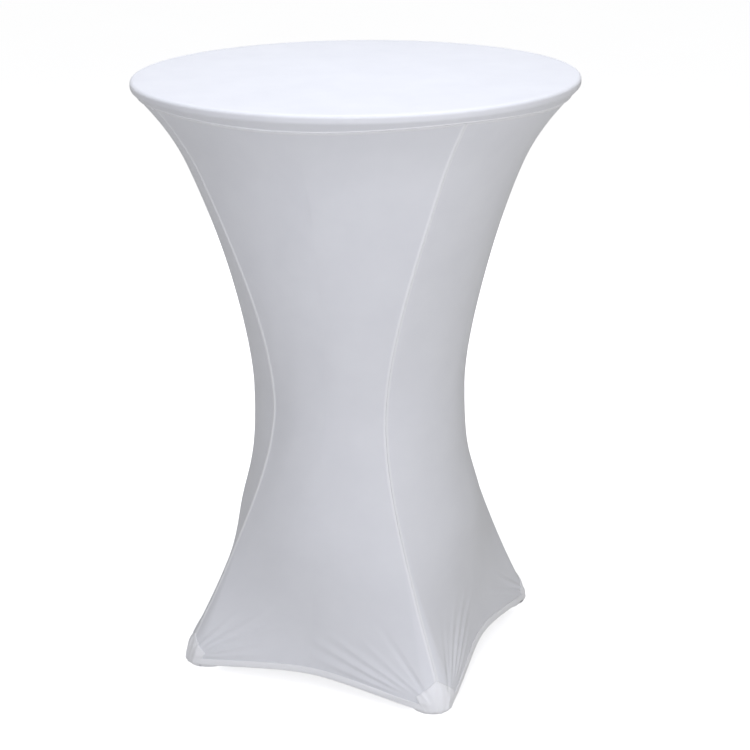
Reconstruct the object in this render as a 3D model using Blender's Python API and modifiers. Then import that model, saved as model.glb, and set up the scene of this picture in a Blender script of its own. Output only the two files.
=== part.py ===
# A round standing table inside a fitted stretch cover. Metres, +Z up, floor at z = 0.
# The four feet lie on the diagonals, so each side panel of the cover faces +X, +Y, -X or -Y.
import bpy
import bmesh
from math import acos, atan2, cos, hypot, pi, radians, sin, sqrt

# Table
tableRadius = 0.400
tableHeight = 1.100
boardThickness = 0.016
edgeRound = 0.006
edgeDepth = 0.012
tongueDepth = 0.010
tongueHalf = 0.0012
columnRadius = 0.030
columnWall = 0.002
spigotHeight = 0.022
rodRadius = 0.005
washerRadius = 0.011
washerThickness = 0.002
nutRadius = 0.0098
nutHeight = 0.008
rodEnd = 0.002
hubMargin = 0.006
spiderReach = 0.160
spiderThickness = 0.008
spiderTipHalf = 0.015
screwHeadRadius = 0.0045
screwHeadHeight = 0.003
screwRadius = 0.002
screwBite = 0.012
screwInset = 0.018
screwSpacing = 0.055
baseReach = 0.334
baseHubHeight = 0.056
baseTipHalf = 0.022
baseTipHeight = 0.022
baseBevel = 0.003
glideInset = 0.022
glidePadRadius = 0.017
glidePadHeight = 0.008
glideStemRadius = 0.004
glideStemLength = 0.034
glideSocketFloor = 0.003

# Cover
clothThickness = 0.0008
doubleCloth = 0.0012
waistHeight = 0.505
waistRadius = 0.199
ringInset = 0.013
ringDrop = 0.0275
rimFlare = 0.022
rimFlareHeight = 0.120
upperFullness = 0.014
fullnessLean = 0.75
lowerFullness = 0.006
squareBelow = 0.05
squareFade = 0.34
pocketHeight = 0.055
pocketRoom = 0.005
pocketHalfWidth = 0.036
pocketPeak = 0.004
footCornerRoom = 0.018
upperCorner = 0.014
cornerFade = 0.25
sideFlatness = 0.20
soleLength = 0.074
hemRise = 0.024
hemLow = 0.004
hemBandHeight = 0.018

# Clearances
gap = 0.0003
seamGap = 0.001
layerGap = 0.0008
threadClearance = 0.0003
holeClearance = 0.0005

turnSteps = 48
edgeSteps = 4
panelSpacing = 1.3
feetAngles = [radians(45 + 90 * k) for k in range(4)]

# Sizes and levels worked out from the ones above
hubHalf = columnRadius + hubMargin
ringRadius = tableRadius - ringInset
pocketRidgeRadius = baseReach + pocketRoom
footCorner = baseTipHalf + footCornerRoom
glideBottom = doubleCloth + gap
baseBottom = glideBottom + glidePadHeight + gap
baseTop = baseBottom + baseHubHeight
boardBottom = tableHeight - boardThickness
spiderTop = boardBottom - gap
spiderBottom = spiderTop - spiderThickness
columnBottom = baseTop + gap
columnTop = spiderBottom - gap
ringHeight = tableHeight - ringDrop
glideCentre = baseReach - glideInset
nutStack = washerThickness + nutHeight + 2 * gap + rodEnd
spigotRadius = columnRadius - columnWall - gap


# Clear the scene, then make one collection for the parts and one for the cutters.
for oldObject in list(bpy.data.objects):
    bpy.data.objects.remove(oldObject)
partsCollection = bpy.data.collections.new("covered_standing_table")
cutterCollection = bpy.data.collections.new("cutters")
bpy.context.scene.collection.children.link(partsCollection)
bpy.context.scene.collection.children.link(cutterCollection)


def makeMaterial(name, colour, roughness, metallic=0.0):
    material = bpy.data.materials.new(name)
    material.use_nodes = True
    shader = material.node_tree.nodes["Principled BSDF"]
    shader.inputs["Base Color"].default_value = (*colour, 1.0)
    shader.inputs["Roughness"].default_value = roughness
    shader.inputs["Metallic"].default_value = metallic
    material.diffuse_color = (*colour, 1.0)
    return material


def addObject(name, mesh, collection=partsCollection):
    newObject = bpy.data.objects.new(name, mesh)
    collection.objects.link(newObject)
    return newObject


def finishPart(part, colour, roughness, metallic=0.0, smooth=True):
    part.data.materials.append(makeMaterial(part.name, colour, roughness, metallic))
    if smooth:
        part.data.shade_smooth()
        part.data.set_sharp_from_angle(angle=radians(35))
    return part


def hideCutter(cutter):
    cutter.hide_render = True
    cutter.display_type = "WIRE"
    return cutter


def arcPoints(centreX, centreZ, radius, startAngle, endAngle, count):
    step = (endAngle - startAngle) / count
    return [(centreX + radius * cos(startAngle + step * k), centreZ + radius * sin(startAngle + step * k))
            for k in range(count + 1)]


def turnedMesh(name, points, closed=False):
    """A profile in the XZ plane, turned about Z by a Screw modifier."""
    mesh = bpy.data.meshes.new(name)
    shape = bmesh.new()
    corners = [shape.verts.new((x, 0, z)) for x, z in points]
    for first, second in zip(corners, corners[1:]):
        shape.edges.new((first, second))
    if closed:
        shape.edges.new((corners[-1], corners[0]))
    shape.to_mesh(mesh)
    shape.free()
    return mesh


def addScrew(part, steps=turnSteps):
    screw = part.modifiers.new("turn", "SCREW")
    screw.axis = "Z"
    screw.steps = steps
    screw.render_steps = steps
    screw.use_merge_vertices = True
    screw.merge_threshold = 0.00001
    screw.use_smooth_shade = True
    return screw


def addTurned(name, points, closed=False, steps=turnSteps):
    part = addObject(name, turnedMesh(name, points, closed))
    addScrew(part, steps)
    return part


def cylinderMesh(name, radius, height, places, sides=24):
    """Upright cylinders standing on the given (x, y, z) places, as one mesh."""
    mesh = bpy.data.meshes.new(name)
    shape = bmesh.new()
    for x, y, z in places:
        made = bmesh.ops.create_cone(
            shape, cap_ends=True, segments=sides, radius1=radius, radius2=radius, depth=height)
        bmesh.ops.translate(shape, verts=made["verts"], vec=(x, y, z + height / 2))
    shape.to_mesh(mesh)
    shape.free()
    return mesh


def addBoolean(part, other, operation="DIFFERENCE"):
    boolean = part.modifiers.new(operation.lower(), "BOOLEAN")
    boolean.operation = operation
    boolean.object = other
    return boolean


def addBevel(part, width, segments=2):
    bevel = part.modifiers.new("bevel", "BEVEL")
    bevel.width = width
    bevel.segments = segments
    bevel.limit_method = "ANGLE"
    bevel.angle_limit = radians(40)
    return bevel


def smoothFade(value):
    value = min(max(value, 0.0), 1.0)
    return value * value * (3 - 2 * value)


# The cover's shape: the radius of a seam at a height, and the cross-section between two seams.
upperSlope = sqrt((ringRadius - rimFlare) ** 2 - waistRadius ** 2) / (ringHeight - waistHeight)
lowerSlope = sqrt(pocketRidgeRadius ** 2 - waistRadius ** 2) / (waistHeight - pocketHeight)


def seamRadius(z):
    if z >= waistHeight:
        rise = min((z - waistHeight) / (ringHeight - waistHeight), 1.0)
        full = upperFullness * sin(pi * rise ** fullnessLean) ** 2
        flare = rimFlare * max(1 - (ringHeight - z) / rimFlareHeight, 0) ** 2
        return hypot(waistRadius, upperSlope * (z - waistHeight)) + full + flare
    if z >= pocketHeight:
        full = lowerFullness * sin(pi * (waistHeight - z) / (waistHeight - pocketHeight)) ** 2
        return hypot(waistRadius, lowerSlope * (waistHeight - z)) + full
    drop = pocketHeight - z
    lean = lowerSlope ** 2 * (waistHeight - pocketHeight) / pocketRidgeRadius
    return pocketRidgeRadius + lean * drop * (1 - drop / (2 * pocketHeight))


def squareness(z):
    if z < waistHeight:
        return 1 - smoothFade((z - squareBelow) / squareFade)
    return sideFlatness * sin(pi * (z - waistHeight) / (ringHeight - waistHeight))


def coverRadius(offset, z):
    """Radius of the cover's outer face at an angle from the nearest seam."""
    offset = min(abs(offset), pi / 4)
    ridge = seamRadius(z)
    corner = footCorner + (upperCorner - footCorner) * smoothFade(z / cornerFade)
    centre = ridge - corner
    tangent = atan2(corner * sin(pi / 4), centre + corner * cos(pi / 4))
    if offset < tangent:
        square = centre * cos(offset) + sqrt(corner ** 2 - (centre * sin(offset)) ** 2)
    else:
        square = (centre * cos(pi / 4) + corner) / cos(pi / 4 - offset)
    mix = squareness(z)
    return (1 - mix) * ridge + mix * square


def hemLine(across):
    """Height of the cover's lower edge; across runs from -1 at one seam to 1 at the next."""
    return hemLow + hemRise * (1 - across ** 2)


def clothGrid(name, columns, rows, place, thickness):
    """A grid laid out by place(u, v) and thickened inwards."""
    mesh = bpy.data.meshes.new(name)
    shape = bmesh.new()
    bmesh.ops.create_grid(shape, x_segments=columns, y_segments=rows, size=0.5)
    for corner in shape.verts:
        corner.co = place(corner.co.x + 0.5, corner.co.y + 0.5)
    shape.to_mesh(mesh)
    shape.free()
    part = addObject(name, mesh)
    solidify = part.modifiers.new("cloth", "SOLIDIFY")
    solidify.thickness = thickness
    solidify.offset = -1
    return part


clothColour = (0.88, 0.88, 0.90)
patchColour = (0.93, 0.93, 0.94)
metalColour = (0.55, 0.56, 0.58)
blackPaint = (0.02, 0.02, 0.022)


# Top cloth: flat over the board, round its edge and in to the ring seam.
def makeTopPanel():
    reach = edgeRound + gap + clothThickness
    centreX = tableRadius - edgeRound
    upperZ = tableHeight - edgeRound
    lowerZ = boardBottom + edgeRound
    awayX = ringRadius - centreX
    awayZ = ringHeight - lowerZ
    leave = atan2(awayZ, awayX) + acos(reach / hypot(awayX, awayZ))
    points = [(0, tableHeight + gap + clothThickness), (centreX * 0.5, tableHeight + gap + clothThickness)]
    points += arcPoints(centreX, upperZ, reach, pi / 2, 0, edgeSteps)
    points += arcPoints(centreX, lowerZ, reach, 0, leave, edgeSteps)
    points.append((ringRadius, ringHeight))
    part = addTurned("top_panel", points)
    solidify = part.modifiers.new("cloth", "SOLIDIFY")
    solidify.thickness = clothThickness
    solidify.offset = -1
    finishPart(part, clothColour, 0.8)


# Four side panels between the seams, with a band along each hem.
def makeSidePanel(index):
    middle = feetAngles[index] + pi / 4
    high = ringHeight - gap - clothThickness

    def place(u, v):
        across = 2 * u - 1
        bent = (1 - (1 - abs(across)) ** 2) * (1 if across > 0 else -1)
        bottom = hemLine(bent)
        z = bottom + (high - bottom) * v ** panelSpacing
        radius = seamRadius(z)
        half = pi / 4 - seamGap / 2 / radius
        radius = coverRadius(pi / 4 - abs(bent) * half, z)
        return (radius * cos(middle + bent * half), radius * sin(middle + bent * half), z)

    part = clothGrid("side_panel_%d" % (index + 1), 16, 28, place, clothThickness)
    finishPart(part, clothColour, 0.8)


def pocketSpread(z):
    return pocketHalfWidth / seamRadius(z)


def makeHemBand(index):
    middle = feetAngles[index] + pi / 4
    half = pi / 4 - pocketSpread(hemLow) - seamGap / seamRadius(hemLow)

    def place(u, v):
        across = 2 * u - 1
        z = hemLine(across * half / (pi / 4)) + hemBandHeight * v
        radius = coverRadius(pi / 4 - abs(across) * half, z) + layerGap + doubleCloth
        return (radius * cos(middle + across * half), radius * sin(middle + across * half), z)

    part = clothGrid("hem_band_%d" % (index + 1), 14, 2, place, doubleCloth)
    finishPart(part, patchColour, 0.75)


# Foot pockets: a doubled sleeve round each corner and a sole under the foot.
def makeFootPocket(index):
    middle = feetAngles[index]
    low = doubleCloth + gap

    def place(u, v):
        across = 2 * u - 1
        top = pocketHeight - pocketPeak * abs(across)
        z = low + (top - low) * v
        spread = across * pocketSpread(z)
        radius = coverRadius(spread, z) + layerGap + doubleCloth
        return (radius * cos(middle + spread), radius * sin(middle + spread), z)

    part = clothGrid("foot_pocket_%d" % (index + 1), 12, 6, place, doubleCloth)
    finishPart(part, patchColour, 0.75)


def makePocketSole(index):
    name = "pocket_sole_%d" % (index + 1)
    outer = seamRadius(0) + layerGap + doubleCloth
    centre = outer - footCorner
    inner = outer - soleLength
    curve = bpy.data.curves.new(name, "CURVE")
    curve.dimensions = "2D"
    curve.fill_mode = "BOTH"
    curve.extrude = doubleCloth / 2
    curve.render_resolution_u = 0
    outline = arcPoints(centre, 0, footCorner, -pi / 2, pi / 2, 14)
    outline += [(inner, footCorner), (inner, -footCorner)]
    spline = curve.splines.new("POLY")
    spline.points.add(len(outline) - 1)
    for point, (x, y) in zip(spline.points, outline):
        point.co = (x, y, 0, 1)
    spline.use_cyclic_u = True
    part = addObject(name, curve)
    part.location.z = doubleCloth / 2
    part.rotation_euler.z = feetAngles[index]
    curve.materials.append(makeMaterial(name, patchColour, 0.75))


# Table top: a board with a groove, and a plastic edge whose tongue sits in the groove.
def screwPlaces(z):
    places = []
    for angle in feetAngles:
        for reach in (spiderReach - screwInset, spiderReach - screwInset - screwSpacing):
            places.append((reach * cos(angle), reach * sin(angle), z))
    return places


def makeTableTop():
    faceRadius = tableRadius - edgeDepth - gap
    grooveRadius = faceRadius - tongueDepth - gap
    middleZ = tableHeight - boardThickness / 2
    grooveHalf = tongueHalf + gap
    board = addTurned("table_board", [
        (0, tableHeight), (faceRadius, tableHeight), (faceRadius, middleZ + grooveHalf),
        (grooveRadius, middleZ + grooveHalf), (grooveRadius, middleZ - grooveHalf),
        (faceRadius, middleZ - grooveHalf), (faceRadius, boardBottom), (0, boardBottom)])
    pilots = hideCutter(addObject("pilot_holes", cylinderMesh(
        "pilot_holes", screwRadius + threadClearance, screwBite + 2 * gap,
        screwPlaces(boardBottom - gap), 12), cutterCollection))
    addBoolean(board, pilots)
    finishPart(board, (0.62, 0.48, 0.33), 0.6)

    inner = tableRadius - edgeDepth
    arcX = tableRadius - edgeRound
    profile = [(inner, tableHeight)]
    profile += arcPoints(arcX, tableHeight - edgeRound, edgeRound, pi / 2, 0, edgeSteps)
    profile += arcPoints(arcX, boardBottom + edgeRound, edgeRound, 0, -pi / 2, edgeSteps)
    profile += [
        (inner, boardBottom), (inner, middleZ - tongueHalf), (inner - tongueDepth, middleZ - tongueHalf),
        (inner - tongueDepth, middleZ + tongueHalf), (inner, middleZ + tongueHalf)]
    edge = addTurned("edge_band", profile, closed=True)
    finishPart(edge, (0.03, 0.03, 0.03), 0.45)


def crossMesh(name, half, height, reach, tipHalf, tipHeight, fromTop):
    """A square hub with four arms pulled out of its sides; the arms keep the hub's top or bottom level."""
    mesh = bpy.data.meshes.new(name)
    shape = bmesh.new()
    made = bmesh.ops.create_cube(shape, size=1.0)
    for corner in made["verts"]:
        corner.co = (corner.co.x * 2 * half, corner.co.y * 2 * half, (corner.co.z + 0.5) * height)
    sides = [face for face in shape.faces if abs(face.normal.z) < 0.5]
    for face in sides:
        outward = face.normal.copy()
        tip = bmesh.ops.extrude_discrete_faces(shape, faces=[face])["faces"][0]
        for corner in tip.verts:
            sideways = corner.co - outward * corner.co.dot(outward)
            sideways.z = 0
            level = corner.co.z / height * tipHeight + (height - tipHeight if fromTop else 0)
            corner.co = outward * reach + sideways * (tipHalf / half)
            corner.co.z = level
    shape.to_mesh(mesh)
    shape.free()
    return mesh


def makeSpider():
    spider = addObject("spider_bracket", crossMesh(
        "spider_bracket", hubHalf, spiderThickness, spiderReach, spiderTipHalf, spiderThickness, True))
    spider.location.z = spiderBottom
    spider.rotation_euler.z = pi / 4
    addBevel(spider, 0.0012, 1)
    spigot = hideCutter(addObject("spider_spigot", cylinderMesh(
        "spider_spigot", spigotRadius, spigotHeight + spiderThickness / 2,
        [(0, 0, spiderBottom - spigotHeight)], 32), cutterCollection))
    addBoolean(spider, spigot, "UNION")
    recess = hideCutter(addObject("spider_recess", cylinderMesh(
        "spider_recess", washerRadius + holeClearance, nutStack + 0.01, [(0, 0, spiderTop - nutStack)], 32),
        cutterCollection))
    addBoolean(spider, recess)
    rodHole = hideCutter(addObject("spider_rod_hole", cylinderMesh(
        "spider_rod_hole", rodRadius + threadClearance, 0.1, [(0, 0, spiderTop - 0.09)], 24),
        cutterCollection))
    addBoolean(spider, rodHole)
    screwHoles = hideCutter(addObject("spider_screw_holes", cylinderMesh(
        "spider_screw_holes", screwRadius + holeClearance, spiderThickness * 3,
        screwPlaces(spiderBottom - spiderThickness), 12), cutterCollection))
    addBoolean(spider, screwHoles)
    finishPart(spider, blackPaint, 0.5, 0.3)


def makeScrews():
    head = spiderBottom - gap
    profile = [
        (0, boardBottom + screwBite - gap), (screwRadius, boardBottom + screwBite - gap - 0.004),
        (screwRadius, head), (screwHeadRadius, head), (screwHeadRadius * 0.8, head - screwHeadHeight),
        (0, head - screwHeadHeight)]
    for number, (x, y, z) in enumerate(screwPlaces(0), 1):
        screw = addTurned("board_screw_%d" % number, profile, steps=12)
        screw.location = (x, y, z)
        finishPart(screw, metalColour, 0.35, 1.0)


def makeColumn():
    inside = columnRadius - columnWall
    column = addTurned("column_tube", [
        (columnRadius, columnTop), (columnRadius, columnBottom), (inside, columnBottom), (inside, columnTop)],
        closed=True, steps=32)
    finishPart(column, blackPaint, 0.4, 0.3)


def makeNut(name, bottom):
    nut = addObject(name, cylinderMesh(name, nutRadius, nutHeight, [(0, 0, bottom)], 6))
    hole = hideCutter(addObject(name + "_hole", cylinderMesh(
        name + "_hole", rodRadius + threadClearance, nutHeight * 2, [(0, 0, bottom - nutHeight / 2)], 24),
        cutterCollection))
    addBoolean(nut, hole)
    finishPart(nut, metalColour, 0.35, 1.0)


def makeWasher(name, bottom):
    hole = rodRadius + threadClearance
    washer = addTurned(name, [
        (washerRadius, bottom + washerThickness), (washerRadius, bottom),
        (hole, bottom), (hole, bottom + washerThickness)], closed=True, steps=24)
    finishPart(washer, metalColour, 0.35, 1.0)


def makeTieRod():
    recessFloor = spiderTop - nutStack
    recessRoof = baseBottom + nutStack
    makeWasher("top_washer", recessFloor + gap)
    makeNut("top_nut", recessFloor + 2 * gap + washerThickness)
    makeWasher("base_washer", recessRoof - gap - washerThickness)
    makeNut("base_nut", recessRoof - 2 * gap - washerThickness - nutHeight)
    rodTop = spiderTop - rodEnd / 2
    rodBottom = baseBottom + rodEnd / 2
    rod = addTurned("tie_rod", [
        (0, rodTop), (rodRadius, rodTop), (rodRadius, rodBottom), (0, rodBottom)], steps=24)
    finishPart(rod, metalColour, 0.35, 1.0)


def makeBase():
    base = addObject("cross_base", crossMesh(
        "cross_base", hubHalf, baseHubHeight, baseReach, baseTipHalf, baseTipHeight, False))
    base.location.z = baseBottom
    base.rotation_euler.z = pi / 4
    addBevel(base, baseBevel)
    spigot = hideCutter(addObject("base_spigot", cylinderMesh(
        "base_spigot", spigotRadius, spigotHeight + baseHubHeight / 2,
        [(0, 0, baseTop - baseHubHeight / 2)], 32), cutterCollection))
    addBoolean(base, spigot, "UNION")
    recess = hideCutter(addObject("base_recess", cylinderMesh(
        "base_recess", washerRadius + holeClearance, nutStack + 0.01, [(0, 0, baseBottom - 0.01)], 32),
        cutterCollection))
    addBoolean(base, recess)
    rodHole = hideCutter(addObject("base_rod_hole", cylinderMesh(
        "base_rod_hole", rodRadius + threadClearance, baseHubHeight + 2 * spigotHeight,
        [(0, 0, baseBottom)], 24), cutterCollection))
    addBoolean(base, rodHole)
    places = [(glideCentre * cos(angle), glideCentre * sin(angle), 0) for angle in feetAngles]
    stemHoles = hideCutter(addObject("stem_holes", cylinderMesh(
        "stem_holes", glideStemRadius + threadClearance, 0.1, places, 16), cutterCollection))
    addBoolean(base, stemHoles)
    finishPart(base, blackPaint, 0.5, 0.3)


# Levelling glides: a threaded stem in each arm and a plastic pad on its end.
def makeGlide(index):
    angle = feetAngles[index]
    spot = (glideCentre * cos(angle), glideCentre * sin(angle), glideBottom)
    socket = glideStemRadius + threadClearance
    pad = addTurned("glide_pad_%d" % (index + 1), [
        (0, glideSocketFloor), (socket, glideSocketFloor), (socket, glidePadHeight),
        (glidePadRadius * 0.85, glidePadHeight), (glidePadRadius, glidePadHeight * 0.6),
        (glidePadRadius, 0), (0, 0)], steps=24)
    pad.location = spot
    finishPart(pad, (0.05, 0.05, 0.05), 0.6)
    low = glideSocketFloor + gap
    high = low + glideStemLength
    stem = addTurned("glide_stem_%d" % (index + 1), [
        (0, high), (glideStemRadius, high), (glideStemRadius, low), (0, low)], steps=16)
    stem.location = spot
    finishPart(stem, metalColour, 0.35, 1.0)


makeTopPanel()
for number in range(4):
    makeSidePanel(number)
    makeHemBand(number)
    makeFootPocket(number)
    makePocketSole(number)
makeTableTop()
makeSpider()
makeScrews()
makeColumn()
makeTieRod()
makeBase()
for number in range(4):
    makeGlide(number)
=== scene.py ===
from math import acos, atan2, cos, exp, hypot, pi, radians, sin, sqrt

import bmesh
import bpy
from mathutils import Matrix, Vector


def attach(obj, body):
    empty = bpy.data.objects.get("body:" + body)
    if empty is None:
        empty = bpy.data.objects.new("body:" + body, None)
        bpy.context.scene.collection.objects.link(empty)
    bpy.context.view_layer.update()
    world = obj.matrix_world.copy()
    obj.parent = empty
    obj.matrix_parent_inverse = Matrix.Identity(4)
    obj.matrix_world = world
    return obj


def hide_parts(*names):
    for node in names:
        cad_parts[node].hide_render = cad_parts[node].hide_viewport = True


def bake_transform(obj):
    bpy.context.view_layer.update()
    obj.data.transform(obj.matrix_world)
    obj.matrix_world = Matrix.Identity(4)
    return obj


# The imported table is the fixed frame; every piece below is laid round it, in metres.
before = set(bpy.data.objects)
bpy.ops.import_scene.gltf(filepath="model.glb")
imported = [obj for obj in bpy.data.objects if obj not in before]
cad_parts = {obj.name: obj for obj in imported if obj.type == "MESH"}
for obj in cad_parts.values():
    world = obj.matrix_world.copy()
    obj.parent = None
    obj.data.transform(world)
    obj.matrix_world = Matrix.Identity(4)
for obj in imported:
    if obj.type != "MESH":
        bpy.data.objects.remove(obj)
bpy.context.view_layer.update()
bpy.ops.object.select_all(action="DESELECT")
print("frame loaded:", len(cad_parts), "nodes")


# The view: distances in metres, angles in degrees.
camera = {
    "distance": 3.236,      # from the table's middle line
    "height": 1.640,
    "azimuth": 23.2,        # round the table, degrees
    "yaw": 0.52,
    "pitch": 18.92,
    "roll": 0.56,
    "lens": 87.0,
}


def makeCamera():
    data = bpy.data.cameras.new("camera")
    data.lens = camera["lens"]
    data.sensor_width = 36.0
    data.clip_start, data.clip_end = 0.05, 200.0
    eye = bpy.data.objects.new("camera", data)
    bpy.context.scene.collection.objects.link(eye)
    around = radians(camera["azimuth"])
    turn = Matrix.Rotation(around - radians(camera["yaw"]), 4, "Z")
    tilt = Matrix.Rotation(radians(90 - camera["pitch"]), 4, "X")
    lean = Matrix.Rotation(-radians(camera["roll"]), 4, "Z")
    place = Matrix.Translation((camera["distance"] * sin(around), -camera["distance"] * cos(around),
                                camera["height"]))
    eye.matrix_world = place @ turn @ tilt @ lean
    bpy.context.scene.camera = eye


makeCamera()
print("camera placed")


# Driving sizes of the cover's shape.
cover = {
    "boardRadius": 0.400, "boardHeight": 1.100, "boardThickness": 0.016, "edgeRound": 0.006,
    "ringRadius": 0.387, "ringHeight": 1.0725, "ringWave": 0.004,
    "rimFlare": 0.022, "rimFlareHeight": 0.120,
    "waistHeight": 0.505, "waistRadius": 0.199,
    "pocketHeight": 0.055, "pocketRidge": 0.339,
    "upperFullness": 0.014, "fullnessLean": 0.75, "lowerFullness": 0.006,
    "squareBelow": 0.05, "squareFade": 0.34, "sideFlatness": 0.20,
    "waistFlatness": 0.172, "flatHeight": 0.362, "flatReach": 0.078,
    "footCorner": 0.040, "upperCorner": 0.014, "cornerFade": 0.25,
    "cloth": 0.0008, "clothLift": 0.0003,
    "hemLow": 0.004, "footFade": 0.18, "footLean": 1.5, "tuckFade": 0.09,
    "allowanceBend": 0.4,   # share of a seam allowance at which it bends
    "doubledAndHighlightShow": 0.9,     # how strongly the second layer and a painted highlight whiten the cloth along a seam
}

# How far each upright seam is turned round the table, in degrees, at its bend and at the ring, and how
# much further than the plain shape its foot reaches, in metres.
seams = [
    {"foot": 45, "bend": 4, "bendHeight": 0.60, "top": 6, "topHeight": 1.02, "reach": 0.000},
    {"foot": 135, "bend": 6, "bendHeight": 0.62, "top": 7, "topHeight": 1.02, "reach": 0.004},
    {"foot": 225, "bend": 19.5, "bendHeight": 0.65, "top": 8.4, "topHeight": 1.05, "reach": 0.007},
    {"foot": 315, "bend": -8.5, "bendHeight": 0.50, "top": 5.2, "topHeight": 1.06, "reach": 0.023},
]

# How far each panel's hem rises and is pulled in between its two feet, in metres.
hems = [
    {"rise": 0.026, "pull": 0.008},
    {"rise": 0.026, "pull": 0.008},
    {"rise": 0.024, "pull": 0.005},
    {"rise": 0.036, "pull": 0.004},
]


def fade(value):
    value = min(max(value, 0.0), 1.0)
    return value * value * (3 - 2 * value)


def mixed(first, second, amount):
    return first + (second - first) * amount


# Angle of an upright seam at a height; indexes run on past a full turn.
def seamAngle(index, z):
    seam = seams[index % 4]
    low = cover["pocketHeight"]
    if z < seam["bendHeight"]:
        turned = seam["bend"] * fade((z - low) / (seam["bendHeight"] - low))
    else:
        turned = mixed(seam["bend"], seam["top"],
                       fade((z - seam["bendHeight"]) / (seam["topHeight"] - seam["bendHeight"])))
    return radians(seam["foot"] + turned) + 2 * pi * (index // 4)


upperSlope = (sqrt((cover["ringRadius"] - cover["rimFlare"]) ** 2 - cover["waistRadius"] ** 2)
              / (cover["ringHeight"] - cover["waistHeight"]))
lowerSlope = (sqrt(cover["pocketRidge"] ** 2 - cover["waistRadius"] ** 2)
              / (cover["waistHeight"] - cover["pocketHeight"]))


def edgeReach():
    return cover["edgeRound"] + cover["clothLift"] + cover["cloth"]


# The angle at which the cloth leaves the board's lower edge, and the point there.
def rimLeave():
    centreX = cover["boardRadius"] - cover["edgeRound"]
    lowerZ = cover["boardHeight"] - cover["boardThickness"] + cover["edgeRound"]
    awayX = cover["ringRadius"] - centreX
    awayZ = cover["ringHeight"] - lowerZ
    leave = atan2(awayZ, awayX) + acos(edgeReach() / hypot(awayX, awayZ))
    return leave, centreX + edgeReach() * cos(leave), lowerZ + edgeReach() * sin(leave)


leaveAngle, leaveRadius, leaveHeight = rimLeave()
rimSlope = (leaveRadius - cover["ringRadius"]) / (leaveHeight - cover["ringHeight"])


# Distance of an upright seam from the middle line at a height.
def seamRadius(z):
    if z > cover["ringHeight"]:
        return cover["ringRadius"] + rimSlope * (z - cover["ringHeight"])
    if z >= cover["waistHeight"]:
        rise = (z - cover["waistHeight"]) / (cover["ringHeight"] - cover["waistHeight"])
        full = cover["upperFullness"] * sin(pi * rise ** cover["fullnessLean"]) ** 2
        flare = cover["rimFlare"] * max(1 - (cover["ringHeight"] - z) / cover["rimFlareHeight"], 0) ** 2
        return hypot(cover["waistRadius"], upperSlope * (z - cover["waistHeight"])) + full + flare
    if z >= cover["pocketHeight"]:
        rise = (cover["waistHeight"] - z) / (cover["waistHeight"] - cover["pocketHeight"])
        full = cover["lowerFullness"] * sin(pi * rise) ** 2
        return hypot(cover["waistRadius"], lowerSlope * (cover["waistHeight"] - z)) + full
    drop = cover["pocketHeight"] - z
    lean = lowerSlope ** 2 * (cover["waistHeight"] - cover["pocketHeight"]) / cover["pocketRidge"]
    return cover["pocketRidge"] + lean * drop * (1 - drop / (2 * cover["pocketHeight"]))


def squareness(z):
    flat = cover["waistFlatness"] * exp(-((z - cover["flatHeight"]) / cover["flatReach"]) ** 2)
    if z < cover["waistHeight"]:
        return 1 - fade((z - cover["squareBelow"]) / cover["squareFade"]) * (1 - flat)
    rise = (z - cover["waistHeight"]) / (cover["ringHeight"] - cover["waistHeight"])
    return cover["sideFlatness"] * sin(pi * min(rise, 1.0)) + flat


# Radius of the cover's outer face at an angle from the nearest seam of a panel of that half width.
def coverRadius(offset, half, z):
    offset = min(abs(offset), half)
    ridge = seamRadius(z)
    corner = mixed(cover["footCorner"], cover["upperCorner"], fade(z / cover["cornerFade"]))
    centre = ridge - corner
    tangent = atan2(corner * sin(half), centre + corner * cos(half))
    if offset < tangent:
        square = centre * cos(offset) + sqrt(corner ** 2 - (centre * sin(offset)) ** 2)
    else:
        square = (centre * cos(half) + corner) / cos(half - offset)
    return mixed(ridge, square, squareness(z))


# Height of the hem's arch; across runs from -1 to 1 between a panel's two upright seams.
def hemLine(panel, across):
    return cover["hemLow"] + hems[panel]["rise"] * (1 - across ** 2)


# How far the cloth pulls in over the arch between two feet.
def hemTuck(panel, across, z):
    return hems[panel]["pull"] * (1 - across ** 2) ** 2 * exp(-(z / cover["tuckFade"]) ** 2)


# How much further out a foot's corner lies; share runs from 1 on its seam to 0 in a panel's middle.
def footReach(index, share, z):
    return seams[index % 4]["reach"] * share ** cover["footLean"] * fade(1 - z / cover["footFade"])


# Height of the ring seam; it is pulled up where an upright seam meets it.
def ringLine(across):
    return cover["ringHeight"] - cover["ringWave"] * cos(pi * across)


def newPiece(name, mesh):
    piece = bpy.data.objects.new(name, mesh)
    bpy.context.scene.collection.objects.link(piece)
    return piece


# A sheet of quads from rows of (point, uv, whitening); the whitening is 1 where a second layer lies behind
# the cloth, and along seams it also carries a painted highlight.
def gridPiece(name, rows):
    shape = bmesh.new()
    layer = shape.loops.layers.uv.new("UVMap")
    doubledAndHighlight = shape.verts.layers.float.new("doubledAndHighlight")
    made = []
    for row in rows:
        made.append([shape.verts.new(entry[0]) for entry in row])
        for corner, entry in zip(made[-1], row):
            corner[doubledAndHighlight] = entry[2]
    for r in range(len(rows) - 1):
        for c in range(len(rows[0]) - 1):
            corners = [(r, c), (r, c + 1), (r + 1, c + 1), (r + 1, c)]
            face = shape.faces.new([made[i][j] for i, j in corners])
            for loop, (i, j) in zip(face.loops, corners):
                loop[layer].uv = rows[i][j][1]
            face.smooth = True
    shape.normal_update()
    widest = max(shape.faces, key=lambda face: face.calc_area())
    if widest.normal.dot(radialWay(widest.calc_center_median())) < 0:
        bmesh.ops.reverse_faces(shape, faces=shape.faces[:])
    mesh = bpy.data.meshes.new(name)
    shape.to_mesh(mesh)
    shape.free()
    return newPiece(name, mesh)


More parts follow.
